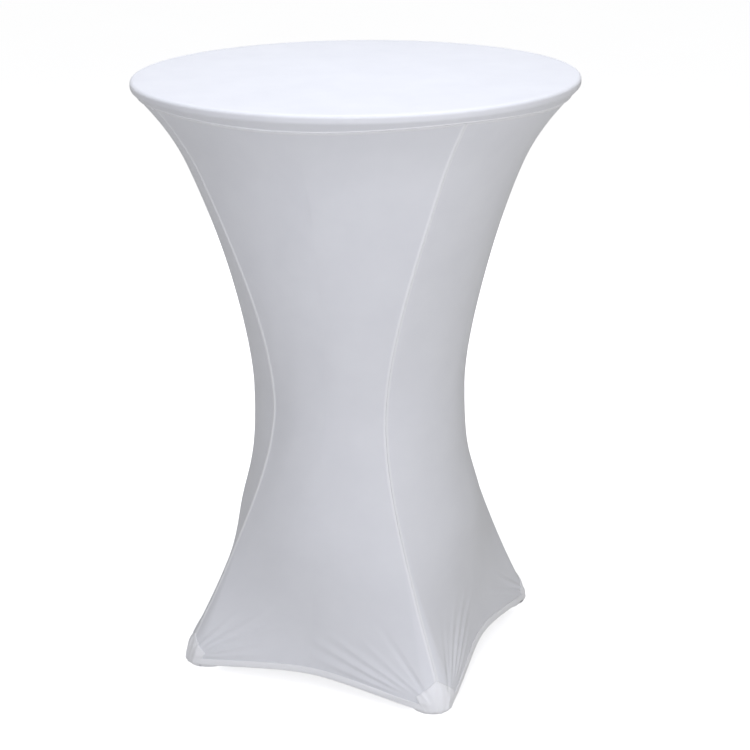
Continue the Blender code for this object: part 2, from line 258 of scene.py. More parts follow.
def applyModifiers(piece):
    bpy.ops.object.select_all(action="DESELECT")
    piece.select_set(True)
    bpy.context.view_layer.objects.active = piece
    for modifier in list(piece.modifiers):
        bpy.ops.object.modifier_apply(modifier=modifier.name)
    piece.select_set(False)


# Gives a sheet its thickness, inwards from the face it was laid on.
def thicken(piece, thickness):
    solidify = piece.modifiers.new("cloth", "SOLIDIFY")
    solidify.thickness = thickness
    solidify.offset = -1.0
    solidify.use_even_offset = False
    applyModifiers(piece)


# The way straight out from the table's middle line at a point.
def radialWay(point):
    return Vector((point.x, point.y, 0))


def inward(point, amount):
    return point - radialWay(point).normalized() * amount


def newMaterial(name, colour, roughness, metallic=0.0):
    material = bpy.data.materials.new(name)
    material.use_nodes = True
    shader = material.node_tree.nodes["Principled BSDF"]
    shader.inputs["Base Color"].default_value = (*colour, 1.0)
    shader.inputs["Roughness"].default_value = roughness
    shader.inputs["Metallic"].default_value = metallic
    material.diffuse_color = (*colour, 1.0)
    return material, material.node_tree.nodes, material.node_tree.links, shader


def addNode(nodes, kind, **settings):
    node = nodes.new(kind)
    for key, value in settings.items():
        setattr(node, key, value)
    return node


def noiseTexture(nodes, links, source, scale, detail=3.0, rough=0.55):
    noise = addNode(nodes, "ShaderNodeTexNoise")
    noise.inputs["Scale"].default_value = scale
    noise.inputs["Detail"].default_value = detail
    noise.inputs["Roughness"].default_value = rough
    links.new(source, noise.inputs["Vector"])
    return noise.outputs["Fac"]


def colourRamp(nodes, links, source, stops):
    ramp = addNode(nodes, "ShaderNodeValToRGB")
    links.new(source, ramp.inputs["Fac"])
    while len(ramp.color_ramp.elements) < len(stops):
        ramp.color_ramp.elements.new(0.5)
    for element, (place, colour) in zip(ramp.color_ramp.elements, stops):
        element.position = place
        element.color = (*colour, 1.0)
    return ramp.outputs["Color"]


def mathNode(nodes, links, operation, first, second=None):
    node = addNode(nodes, "ShaderNodeMath", operation=operation)
    for socket, value in zip(node.inputs, (first, second)):
        if value is None:
            continue
        if isinstance(value, (int, float)):
            socket.default_value = value
        else:
            links.new(value, socket)
    return node.outputs[0]


def addBump(nodes, links, shader, height, distance, strength=1.0, below=None):
    bump = addNode(nodes, "ShaderNodeBump")
    bump.inputs["Strength"].default_value = strength
    bump.inputs["Distance"].default_value = distance
    links.new(height, bump.inputs["Height"])
    if below is not None:
        links.new(below, bump.inputs["Normal"])
    links.new(bump.outputs["Normal"], shader.inputs["Normal"])
    return bump.outputs["Normal"]


# The seam tone whitens the cloth along seams: partly the second layer behind it, partly a painted highlight
# on the seam's ridge.
knit = {
    "wale": 0.0011, "course": 0.0009, "depth": 0.00010, "ribs": 0.6, "fuzz": 1.2, "fuzzScale": 900.0,
    "unevenScale": 34.0, "unevenDepth": 0.0010, "blotchScale": 9.0, "threadTone": 0.05,
    "sheen": 0.25, "doubledAndHighlightTone": (0.98, 0.98, 0.985),
}


# Fine warp knit: small loops on the piece's own UV map, in metres, over a soft uneven hand.
def makeKnit(name, colour, shade, roughness):
    material, nodes, links, shader = newMaterial(name, colour, roughness)
    shader.inputs["Sheen Weight"].default_value = knit["sheen"]
    shader.inputs["Sheen Roughness"].default_value = 0.5
    shader.inputs["Specular IOR Level"].default_value = 0.25
    uv = addNode(nodes, "ShaderNodeUVMap", uv_map="UVMap").outputs["UV"]
    split = addNode(nodes, "ShaderNodeSeparateXYZ")
    links.new(uv, split.inputs[0])
    wales = mathNode(nodes, links, "SINE", mathNode(nodes, links, "MULTIPLY", split.outputs[0],
                                                    2 * pi / knit["wale"]))
    courses = mathNode(nodes, links, "SINE", mathNode(nodes, links, "MULTIPLY", split.outputs[1],
                                                      2 * pi / knit["course"]))
    loops = mathNode(nodes, links, "MULTIPLY", wales, courses)
    ribs = mathNode(nodes, links, "MULTIPLY", wales, knit["ribs"])
    weave = mathNode(nodes, links, "ADD", loops, ribs)
    fuzz = noiseTexture(nodes, links, uv, knit["fuzzScale"], 2.0)
    weave = mathNode(nodes, links, "ADD", weave, mathNode(nodes, links, "MULTIPLY", fuzz, knit["fuzz"]))
    uneven = noiseTexture(nodes, links, uv, knit["unevenScale"], 3.0, 0.6)
    first = addBump(nodes, links, shader, uneven, knit["unevenDepth"], 0.30)
    addBump(nodes, links, shader, weave, knit["depth"], 0.55, first)
    blotch = noiseTexture(nodes, links, uv, knit["blotchScale"], 4.0, 0.6)
    thread = mathNode(nodes, links, "MULTIPLY", weave, knit["threadTone"])
    tone = mathNode(nodes, links, "ADD", blotch, thread)
    single = colourRamp(nodes, links, tone, [(0.25, shade), (0.75, colour)])
    # Where the mesh marks it, the colour is mixed towards the whiter seam tone: partly the second layer
    # behind the cloth, partly a painted highlight along the seam's ridge.
    mix = addNode(nodes, "ShaderNodeMix", data_type="RGBA")
    layers = addNode(nodes, "ShaderNodeAttribute", attribute_name="doubledAndHighlight")
    links.new(layers.outputs["Fac"], mix.inputs[0])
    links.new(single, mix.inputs[6])
    mix.inputs[7].default_value = (*knit["doubledAndHighlightTone"], 1.0)
    links.new(mix.outputs[2], shader.inputs["Base Color"])
    return material


clothMaterial = makeKnit("stretchKnit", (0.86, 0.865, 0.885), (0.815, 0.82, 0.845), 0.82)
# The knit of the hems, pockets and soles: a little whiter for its two layers, and painted whiter still to
# stand in for light bounced up from the floor onto the lower cloth.
doubledPaintedBounceMaterial = makeKnit("doubledKnitPaintedBounce", (0.985, 0.985, 0.99), (0.96, 0.96, 0.97), 0.78)


def makeThread():
    material, nodes, links, shader = newMaterial("whiteThread", (0.93, 0.93, 0.94), 0.55)
    shader.inputs["Sheen Weight"].default_value = 0.2
    place = addNode(nodes, "ShaderNodeTexCoord").outputs["Object"]
    twist = noiseTexture(nodes, links, place, 2600.0, 2.0)
    addBump(nodes, links, shader, twist, 0.0001, 0.5)
    links.new(colourRamp(nodes, links, twist, [(0.3, (0.86, 0.86, 0.88)), (0.7, (0.94, 0.94, 0.95))]),
              shader.inputs["Base Color"])
    return material


threadMaterial = makeThread()


def makeBoard():
    material, nodes, links, shader = newMaterial("particleBoard", (0.62, 0.48, 0.33), 0.75)
    place = addNode(nodes, "ShaderNodeTexCoord").outputs["Object"]
    flakes = addNode(nodes, "ShaderNodeTexVoronoi")
    flakes.inputs["Scale"].default_value = 260.0
    links.new(place, flakes.inputs["Vector"])
    dust = noiseTexture(nodes, links, place, 90.0, 5.0, 0.65)
    tone = mathNode(nodes, links, "ADD", mathNode(nodes, links, "MULTIPLY", flakes.outputs["Distance"], 0.5),
                    mathNode(nodes, links, "MULTIPLY", dust, 0.6))
    stops = [(0.25, (0.36, 0.25, 0.15)), (0.5, (0.60, 0.46, 0.30)), (0.8, (0.76, 0.62, 0.44))]
    links.new(colourRamp(nodes, links, tone, stops), shader.inputs["Base Color"])
    addBump(nodes, links, shader, flakes.outputs["Distance"], 0.0003, 0.5)
    return material


def makePlastic(name, colour, lighter, roughness, scale):
    material, nodes, links, shader = newMaterial(name, colour, roughness)
    place = addNode(nodes, "ShaderNodeTexCoord").outputs["Object"]
    grain = noiseTexture(nodes, links, place, scale, 4.0)
    wear = noiseTexture(nodes, links, place, 14.0, 3.0)
    links.new(colourRamp(nodes, links, wear, [(0.35, colour), (0.7, lighter)]), shader.inputs["Base Color"])
    links.new(mathNode(nodes, links, "ADD", mathNode(nodes, links, "MULTIPLY", wear, 0.2), roughness - 0.1),
              shader.inputs["Roughness"])
    addBump(nodes, links, shader, grain, 0.0002, 0.35)
    return material


# Powder coat: an even orange peel, a touch lighter where it is handled.
def makePaint(name, colour, lighter, scale, depth):
    material, nodes, links, shader = newMaterial(name, colour, 0.5)
    shader.inputs["Coat Weight"].default_value = 0.15
    place = addNode(nodes, "ShaderNodeTexCoord").outputs["Object"]
    peel = noiseTexture(nodes, links, place, scale, 3.0)
    wear = noiseTexture(nodes, links, place, 18.0, 4.0)
    links.new(colourRamp(nodes, links, wear, [(0.4, colour), (0.75, lighter)]), shader.inputs["Base Color"])
    addBump(nodes, links, shader, peel, depth, 0.5)
    return material


def makeZinc():
    material, nodes, links, shader = newMaterial("zincPlate", (0.55, 0.56, 0.58), 0.35, 1.0)
    place = addNode(nodes, "ShaderNodeTexCoord").outputs["Object"]
    spangle = noiseTexture(nodes, links, place, 160.0, 3.0)
    links.new(mathNode(nodes, links, "ADD", mathNode(nodes, links, "MULTIPLY", spangle, 0.25), 0.22),
              shader.inputs["Roughness"])
    links.new(colourRamp(nodes, links, spangle, [(0.3, (0.46, 0.47, 0.50)), (0.7, (0.62, 0.63, 0.64))]),
              shader.inputs["Base Color"])
    addBump(nodes, links, shader, spangle, 0.0001, 0.3)
    return material


boardMaterial = makeBoard()
edgeMaterial = makePlastic("blackEdge", (0.025, 0.025, 0.026), (0.06, 0.06, 0.062), 0.45, 420.0)
padMaterial = makePlastic("greyPad", (0.05, 0.05, 0.052), (0.10, 0.10, 0.104), 0.55, 300.0)
steelMaterial = makePaint("blackPowder", (0.018, 0.018, 0.020), (0.045, 0.045, 0.048), 700.0, 0.0002)
castMaterial = makePaint("castPowder", (0.018, 0.018, 0.020), (0.05, 0.05, 0.052), 240.0, 0.0006)
zincMaterial = makeZinc()


def dressNode(name, material):
    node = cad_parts[name]
    node.data.materials.clear()
    node.data.materials.append(material)


def dressTable():
    dressNode("table_board", boardMaterial)
    dressNode("edge_band", edgeMaterial)
    dressNode("spider_bracket", steelMaterial)
    dressNode("column_tube", steelMaterial)
    dressNode("cross_base", castMaterial)
    for name in ("tie_rod", "top_nut", "top_washer", "base_nut", "base_washer"):
        dressNode(name, zincMaterial)
    for k in range(1, 9):
        dressNode("board_screw_%d" % k, zincMaterial)
    for k in range(1, 5):
        dressNode("glide_stem_%d" % k, zincMaterial)
        dressNode("glide_pad_%d" % k, padMaterial)


dressTable()
print("materials made")


# The top cloth lies flat on the board, goes round its edge and in to the ring seam.
topCloth = {
    "turns": 320, "flatRings": 16, "ringSpread": 0.8, "edgeSteps": 8, "bandSteps": 14,
    "ridge": 0.0015, "ridgeWidth": 0.0021, "doubledAndHighlightWidth": 0.0032, "seamGap": 0.0004, "allowance": 0.005,
    "bandLean": 1.3,        # length along the leaning band for each metre of height
    "flat": (0.80, 0.80), "area": 0.502,
}


# How far across its side panel an angle lies, from -1 to 1.
def acrossAt(angle, z):
    for index in range(-4, 8):
        first, second = seamAngle(index, z), seamAngle(index + 1, z)
        if first <= angle < second:
            return 2 * (angle - first) / (second - first) - 1
    return 0.0


# A soft ridge of a given height and width, such as a turned-in allowance raises beside its seam.
def softRidge(distance, height, width):
    return height * exp(-(distance / width) ** 2)


def makeTopCloth():
    reach = edgeReach()
    centreX = cover["boardRadius"] - cover["edgeRound"]
    upperZ = cover["boardHeight"] - cover["edgeRound"]
    lowerZ = cover["boardHeight"] - cover["boardThickness"] + cover["edgeRound"]
    turns = topCloth["turns"]
    acrossTop = [acrossAt(2 * pi * k / turns, cover["ringHeight"]) for k in range(turns)]
    profile = []
    for k in range(1, topCloth["flatRings"] + 1):
        share = k / topCloth["flatRings"]
        profile.append((centreX * share ** topCloth["ringSpread"], upperZ + reach))
    for k in range(1, topCloth["edgeSteps"] + 1):
        angle = pi / 2 * (1 - k / topCloth["edgeSteps"])
        profile.append((centreX + reach * cos(angle), upperZ + reach * sin(angle)))
    for k in range(topCloth["edgeSteps"] + 1):
        angle = leaveAngle * k / topCloth["edgeSteps"]
        profile.append((centreX + reach * cos(angle), lowerZ + reach * sin(angle)))
    rows = []
    travelled, last = 0.0, (0.0, upperZ + reach)
    for radius, z in profile:
        travelled += hypot(radius - last[0], z - last[1])
        last = (radius, z)
        rows.append([(radius, z, travelled)] * turns)
    for k in range(1, topCloth["bandSteps"] + 1):
        share = 1 - (1 - k / topCloth["bandSteps"]) ** 2
        row = []
        for across in acrossTop:
            z = mixed(leaveHeight, ringLine(across) + topCloth["seamGap"], share)
            radius = seamRadius(z)
            down = hypot(radius - leaveRadius, leaveHeight - z)
            left = max((z - ringLine(across)) * topCloth["bandLean"], 0)
            radius += softRidge(left, topCloth["ridge"], topCloth["ridgeWidth"])
            row.append((radius, z, travelled + down))
        rows.append(row)
    lastRow = rows[-1]
    for turned in (topCloth["allowance"] * cover["allowanceBend"], topCloth["allowance"]):
        rows.append([(radius - turned, z, way + turned) for radius, z, way in lastRow])

    shape = bmesh.new()
    layer = shape.loops.layers.uv.new("UVMap")
    doubledAndHighlight = shape.verts.layers.float.new("doubledAndHighlight")
    centre = shape.verts.new((0, 0, upperZ + reach))
    made, places = [], []
    for row in rows:
        made.append([shape.verts.new((radius * cos(2 * pi * k / turns), radius * sin(2 * pi * k / turns), z))
                     for k, (radius, z, way) in enumerate(row)])
        # Whiten the cloth beside the ring seam: partly the second layer behind it, partly a painted highlight
        # on the seam's ridge.
        for corner, across in zip(made[-1], acrossTop):
            left = max(corner.co.z - ringLine(across), 0) * topCloth["bandLean"]
            corner[doubledAndHighlight] = cover["doubledAndHighlightShow"] * exp(-(left / topCloth["doubledAndHighlightWidth"]) ** 4)
        places.append([(way * cos(2 * pi * k / turns), way * sin(2 * pi * k / turns))
                       for k, (radius, z, way) in enumerate(row)])
    for k in range(turns):
        after = (k + 1) % turns
        face = shape.faces.new((centre, made[0][k], made[0][after]))
        for loop, uv in zip(face.loops, ((0, 0), places[0][k], places[0][after])):
            loop[layer].uv = uv
        face.smooth = True
        for r in range(len(made) - 1):
            face = shape.faces.new((made[r][k], made[r + 1][k], made[r + 1][after], made[r][after]))
            uvs = (places[r][k], places[r + 1][k], places[r + 1][after], places[r][after])
            for loop, uv in zip(face.loops, uvs):
                loop[layer].uv = uv
            face.smooth = True
    shape.normal_update()
    mesh = bpy.data.meshes.new("top_cloth")
    shape.to_mesh(mesh)
    shape.free()
    piece = newPiece("top_cloth", mesh)
    thicken(piece, cover["cloth"])
    piece.data.materials.append(clothMaterial)
    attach(piece, "table")
    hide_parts("top_panel")


makeTopCloth()
print("top cloth made")


# The side cloths: four panels with seams, a hem and creases running out of the foot pockets.
sideCloth = {
    "halfColumns": 98, "rows": 205, "rowSpread": 1.7, "edgeShare": 0.30, "columnSpread": 2.2,
    "topBand": 0.012,       # below the ring seam, with closer rows at these distances from it
    "topRows": (0.0075, 0.0052, 0.0036, 0.0025, 0.0017, 0.0011, 0.0006, 0.0),
    "seamGap": 0.0003, "ridge": 0.0014, "ridgeWidth": 0.0028, "allowance": 0.004, "doubledAndHighlightWidth": 0.0042,
    "bendWay": 0.002, "turnedWay": 0.005, "topWay": 0.004,   # the knit's run over the turned-in edges
    "topDrop": 0.0002,
    "creaseStart": 0.014, "creaseHeight": 0.020, "creaseDepth": 0.0056, "creaseWidth": 0.0034,
    "creaseSpread": 0.040, "creaseRise": 0.30, "creaseFade": 1.3, "creaseTrough": 0.9,
    "creaseBelow": 0.03, "creaseLimit": 0.22,
    "swell": 0.0010, "swellLow": 0.1, "swellHigh": 1.04,
    "flat": (0.50, 0.95), "area": 0.36,
}

# Creases by panel and side: angle from the seam's line, length and share of the full depth, fanning out.
creases = {
    (0, 0): [(12, 0.16, 0.8), (28, 0.15, 1.0), (46, 0.12, 0.8), (64, 0.10, 0.7)],
    (0, 1): [(16, 0.15, 0.8), (34, 0.16, 1.0), (54, 0.13, 0.8)],
    (1, 0): [(14, 0.15, 0.8), (32, 0.15, 1.0), (52, 0.13, 0.9), (68, 0.10, 0.6)],
    (1, 1): [(12, 0.16, 0.8), (30, 0.15, 0.9), (50, 0.12, 0.8)],
    (2, 0): [(22, 0.13, 0.6), (37, 0.16, 1.0), (50, 0.17, 1.1), (62, 0.15, 0.9), (74, 0.12, 0.7)],
    (2, 1): [(24, 0.15, -0.8), (44, 0.14, 0.7), (58, 0.19, 1.0), (68, 0.22, 1.2), (77, 0.22, 1.1),
             (85, 0.17, 0.8)],
    (3, 0): [(20, 0.15, -0.5), (36, 0.18, 0.7), (47, 0.21, 1.1), (57, 0.21, 1.2), (67, 0.17, 1.0),
             (78, 0.12, 0.7)],
    (3, 1): [(38, 0.13, 0.9), (56, 0.15, 1.1), (72, 0.11, 0.8)],
}


# Height of the creases at a place given by its distance from the seam and its height.
def creaseHeight(panel, side, fromSeam, z):
    total = 0.0
    awayX = fromSeam - sideCloth["creaseStart"]
    awayZ = z - sideCloth["creaseHeight"]
    if awayZ < -sideCloth["creaseBelow"] or max(awayX, awayZ) > sideCloth["creaseLimit"]:
        return 0.0
    for angle, length, depth in creases[(panel, side)]:
        tilt = radians(angle)
        along = awayX * sin(tilt) + awayZ * cos(tilt)
        aside = awayX * cos(tilt) - awayZ * sin(tilt)
        if along <= 0 or along >= length:
            continue
        width = sideCloth["creaseWidth"] + sideCloth["creaseSpread"] * along
        share = along / length
        strength = fade(share / sideCloth["creaseRise"]) * (1 - share) ** sideCloth["creaseFade"]
        place = (aside / width) ** 2
        form = (1 - sideCloth["creaseTrough"] * place) * exp(-place)
        total += sideCloth["creaseDepth"] * depth * strength * form
    return total


# A slow unevenness in the stretched cloth.
def swelling(panel, across, z):
    broad = sin(5.0 * across + 1.7 * panel) * sin(9.0 * z + 2.1 * panel)
    narrow = 0.6 * sin(11.0 * across - 14.0 * z + panel)
    low = sideCloth["swellLow"]
    ends = fade(z / low) * fade((sideCloth["swellHigh"] - z) / low)
    return sideCloth["swell"] * 0.5 * (broad + narrow) * (1 - across ** 4) * ends


# A point on a side panel's outer face, lifted off it by so much, and its distance from the nearer seam.
def panelPoint(panel, across, z, lift=0.0):
    first, second = seamAngle(panel, z), seamAngle(panel + 1, z)
    half = (second - first) / 2
    offset = (1 - abs(across)) * half
    radius = coverRadius(offset, half, z)
    fromSeam = offset * radius
    side = 0 if across < 0 else 1
    radius += footReach(panel + side, abs(across), z) - hemTuck(panel, across, z)
    radius += softRidge(fromSeam, sideCloth["ridge"], sideCloth["ridgeWidth"])
    radius += swelling(panel, across, z) + creaseHeight(panel, side, fromSeam, z)
    radius += lift
    angle = (first + second) / 2 + across * half
    return Vector((radius * cos(angle), radius * sin(angle), z)), fromSeam


def makeSideCloth(panel):
    halfColumns, even = sideCloth["halfColumns"], sideCloth["edgeShare"]
    shares = []
    for k in range(halfColumns + 1):
        share = k / halfColumns
        shares.append(even * share + (1 - even) * share ** sideCloth["columnSpread"])
    acrossList = [-1 + share for share in shares] + [1 - share for share in reversed(shares[:-1])]
    rowCount, topRows = sideCloth["rows"], sideCloth["topRows"]
    rows = []
    for r in range(rowCount + len(topRows)):
        row = []
        for across in acrossList:
            low = hemLine(panel, across)
            high = ringLine(across) - sideCloth["seamGap"]
            if r < rowCount:
                share = (r / (rowCount - 1)) ** sideCloth["rowSpread"]
                z = mixed(low, high - sideCloth["topBand"], share)
            else:
                z = high - topRows[r - rowCount]
            first, second = seamAngle(panel, z), seamAngle(panel + 1, z)
            half = (second - first) / 2
            inset = sideCloth["seamGap"] / seamRadius(z) / half
            place, fromSeam = panelPoint(panel, across * (1 - inset), z)
            if r >= rowCount:
                lift = softRidge(ringLine(across) - z, sideCloth["ridge"], sideCloth["ridgeWidth"])
                place = inward(place, -lift)
            sign = 1 if across > 0 else -1
            # Whiten the cloth near the seams: partly the second layer behind it, partly a painted highlight
            # on the seam's ridge.
            nearest = min(fromSeam, ringLine(across) - z)
            doubledAndHighlightShare = cover["doubledAndHighlightShow"] * exp(-(nearest / sideCloth["doubledAndHighlightWidth"]) ** 4)
            width = half * seamRadius(0.5 * z + 0.5)   # the knit's place across, at the seam
            row.append((place, (sign * (width - fromSeam), z), doubledAndHighlightShare))
        rows.append(row)

    # The seam allowances: each panel's sides and top turn in.
    allowance = sideCloth["allowance"]

    def turnedIn(entry, amount, way):
        return inward(entry[0], amount), (entry[1][0] + way, entry[1][1]), 1.0

    bend = allowance * cover["allowanceBend"]
    bendWay, turnedWay = sideCloth["bendWay"], sideCloth["turnedWay"]
    wide = []
    for row in rows:
        first, last = row[0], row[-1]
        wide.append([turnedIn(first, allowance, -turnedWay), turnedIn(first, bend, -bendWay)] + row
                    + [turnedIn(last, bend, bendWay), turnedIn(last, allowance, turnedWay)])
    topRow = wide[-1]
    tucked = []
    for k, (place, uv, doubledAndHighlightShare) in enumerate(topRow):
        side = min(k, len(topRow) - 1 - k)
        amount = allowance if side >= 2 else 0.0
        tucked.append((inward(place, amount) - Vector((0, 0, sideCloth["topDrop"])),
                       (uv[0], uv[1] + sideCloth["topWay"]), 1.0))
    wide.append(tucked)
    piece = gridPiece("side_cloth_%d" % (panel + 1), wide)
    thicken(piece, cover["cloth"])
    piece.data.materials.append(clothMaterial)
    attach(piece, "table")
    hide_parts("side_panel_%d" % (panel + 1))
    return piece


sidePieces = [makeSideCloth(panel) for panel in range(4)]
print("side cloths made")


# The stitches: one short thread is modelled, and copies of it are laid along the seams and edges.
stitch = {"length": 0.0026, "pitch": 0.0036, "radius": 0.00028, "sides": 6, "lift": 0.00012,
          "shoulder": 0.25, "taper": 0.35, "sink": 0.00030}


# A thread along X: a thin rod, its ends tapered and pushed down into the cloth.
def makeStitchShape():
    bpy.ops.mesh.primitive_cylinder_add(vertices=stitch["sides"], radius=stitch["radius"],
                                        depth=stitch["length"], rotation=(0, pi / 2, 0))
    thread = bpy.context.active_object
    bpy.ops.object.transform_apply(location=True, rotation=True, scale=True)
    bpy.ops.object.mode_set(mode="EDIT")
    shoulder = stitch["shoulder"] * stitch["length"]
    for side in (-1, 1):
        bpy.ops.mesh.select_all(action="SELECT")
        bpy.ops.mesh.bisect(plane_co=(side * shoulder, 0, 0), plane_no=(1, 0, 0))
    for side in (-1, 1):
        bpy.ops.object.mode_set(mode="OBJECT")
        for corner in thread.data.vertices:
            corner.select = corner.co.x * side > shoulder * 1.5
        for edge in thread.data.edges:
            edge.select = all(thread.data.vertices[k].select for k in edge.vertices)
        for face in thread.data.polygons:
            face.select = all(thread.data.vertices[k].select for k in face.vertices)
        bpy.ops.object.mode_set(mode="EDIT")
        bpy.ops.transform.resize(value=(1, stitch["taper"], stitch["taper"]))
        bpy.ops.transform.translate(value=(0, 0, -stitch["sink"]))
    bpy.ops.object.mode_set(mode="OBJECT")
    shape = thread.data.copy()
    bpy.data.objects.remove(thread)
    return shape


stitchShape = makeStitchShape()


# Stitches at an even pitch along a line of points, each a matrix that places one thread.
def stitchRow(points, ways):
    marks = [0.0]
    for first, second in zip(points, points[1:]):
        marks.append(marks[-1] + (second - first).length)

    def pointAt(distance):
        for k in range(len(points) - 1):
            if marks[k] <= distance <= marks[k + 1]:
                share = (distance - marks[k]) / max(marks[k + 1] - marks[k], 1e-9)
                return points[k].lerp(points[k + 1], share), ways[k]
        return points[-1], ways[-1]

    places = []
    middle = stitch["pitch"] * 0.5 + stitch["length"] * 0.5
    while middle + stitch["length"] * 0.5 < marks[-1]:
        start, way = pointAt(middle - stitch["length"] * 0.5)
        finish, way = pointAt(middle + stitch["length"] * 0.5)
        along = (finish - start).normalized()
        aside = way.cross(along).normalized()
        turn = Matrix((along, aside, along.cross(aside))).transposed().to_4x4()
        places.append(Matrix.Translation((start + finish) / 2 + way * stitch["lift"]) @ turn)
        middle += stitch["pitch"]
    return places


def makeStitches(name, places):
    points, faces = [], []
    for place in places:
        first = len(points)
        points += [place @ corner.co for corner in stitchShape.vertices]
        faces += [[first + k for k in face.vertices] for face in stitchShape.polygons]
    mesh = bpy.data.meshes.new(name)
    mesh.from_pydata(points, [], faces)
    mesh.shade_smooth()
    piece = newPiece(name, mesh)
    piece.data.materials.append(threadMaterial)
    return piece


# The hem bands: a folded band over each arched lower edge.
hemBand = {
    "height": 0.011, "columns": 220, "thickness": 0.0006, "outer": 0.0009, "inner": -0.0019,
    "turn": 0.0006, "pillow": 0.0002, "topRound": 0.0014, "puff": 0.00018,
    "pocketHalfWidth": 0.026, "endGap": 0.004, "knitLength": 0.27,
    "rows": (0.0024, 0.0088), "rowReach": 0.995, "flat": (0.028, 0.43),
}


# The fold's outline as (lift off the panel, height over the hem), from its inner edge to its outer one.
def hemFold():
    high, outer, inner = hemBand["height"], hemBand["outer"], hemBand["inner"]
    turn, full = hemBand["turn"], hemBand["outer"] + hemBand["pillow"]
    return [(inner, high), (inner, high * 0.5), (inner, turn), (inner * 0.8, -turn), (-0.0004, -2 * turn),
            (outer * 0.75, -0.0007), (outer, turn), (full, high * 0.35), (full, high * 0.7),
            (outer * 0.8, high - hemBand["topRound"]), (hemBand["pillow"], high)]


def makeHemBand(panel):
    pocketShare = hemBand["pocketHalfWidth"] / seamRadius(cover["hemLow"]) / (pi / 4)
    reach = 1 - pocketShare - hemBand["endGap"]
    profile = hemFold()
    columns = hemBand["columns"]
    rows = []
    travelled = 0.0
    for k, (lift, up) in enumerate(profile):
        if k:
            travelled += hypot(lift - profile[k - 1][0], up - profile[k - 1][1])
        row = []
        for c in range(columns + 1):
            across = (2 * c / columns - 1) * reach
            z = hemLine(panel, across) + up
            puff = hemBand["puff"] * sin(c * 1.9 + panel) * sin(c * 0.37) if lift > 0 else 0
            place = panelPoint(panel, across, z, lift + puff)[0]
            row.append((place, (across * hemBand["knitLength"], travelled), 0.0))
        rows.append(row)
    piece = gridPiece("hem_edge_%d" % (panel + 1), rows)
    thicken(piece, hemBand["thickness"])
    piece.data.materials.append(doubledPaintedBounceMaterial)
    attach(piece, "table")
    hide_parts("hem_band_%d" % (panel + 1))

    places = []
    for up in hemBand["rows"]:
        points, ways = [], []
        for c in range(columns + 1):
            across = (2 * c / columns - 1) * reach * hemBand["rowReach"]
            z = hemLine(panel, across) + up
            place = panelPoint(panel, across, z, hemBand["outer"] + hemBand["pillow"])[0]
            points.append(place)
            ways.append(radialWay(place).normalized())
        places += stitchRow(points, ways)
    threads = makeStitches("hem_stitches_%d" % (panel + 1), places)
    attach(threads, "table")


for panel, sidePiece in enumerate(sidePieces):
    makeHemBand(panel)
print("hem bands made")


# The foot pockets: a patch of two layers round each corner, turned under the foot; its whiter colour is
# partly painted light bounced up from the floor.
pocket = {
    "halfWidth": 0.037, "toeHalfWidth": 0.027, "peak": 0.060, "shoulder": 0.033, "gable": 1.15,
    "thickness": 0.0009, "outer": 0.0018, "fold": 0.0019, "foldFade": 0.014, "columns": 90, "rows": 34,
    "sideDip": 0.0007, "sideDipWidth": 0.03, "topDip": 0.0006, "topDipWidth": 0.0012,   # the edges lie lower
    "turnRadius": 0.011, "turnSteps": 9, "under": 0.0005,
    "stitchAcross": 0.93, "stitchDrop": 0.0028, "stitchLow": 0.002, "sideMarks": 12,
    "flat": (0.056, 0.066), "blendTop": 0.050, "blendLow": 0.008,
}


# A point of the pocket's outer face; across runs from -1 to 1 round the foot's corner.
def pocketPoint(index, across, z, lift):
    panel = index if across >= 0 else index - 1
    half = (seamAngle(panel + 1, z) - seamAngle(panel, z)) / 2
    wide = mixed(pocket["toeHalfWidth"], pocket["halfWidth"], fade(z / pocket["shoulder"]))
    spread = across * wide / seamRadius(z)
    radius = coverRadius(spread, half, z) + footReach(index, 1 - abs(spread) / half, z) + lift
    radius += creaseHeight(panel % 4, 0 if across >= 0 else 1, abs(spread) * radius, z)
    angle = seamAngle(index, z) + spread
    return Vector((radius * cos(angle), radius * sin(angle), z))


# The pocket's upper edge: a low gable with its peak on the seam.
def pocketTop(across):
    return mixed(pocket["peak"], pocket["shoulder"], abs(across) ** pocket["gable"])


# Soft folds where the doubled cloth is pulled round the foot; they only stand outwards.
def pocketFold(index, across, z):
    wave = sin(7.5 * across + 1.3 * index + 14 * z) + 0.6 * sin(16.0 * across + 2.2 * index - 30 * z)
    ends = fade((pocketTop(across) - z) / pocket["foldFade"]) * (1 - across ** 4)
    return pocket["fold"] * 0.5 * (1.3 + wave) * ends


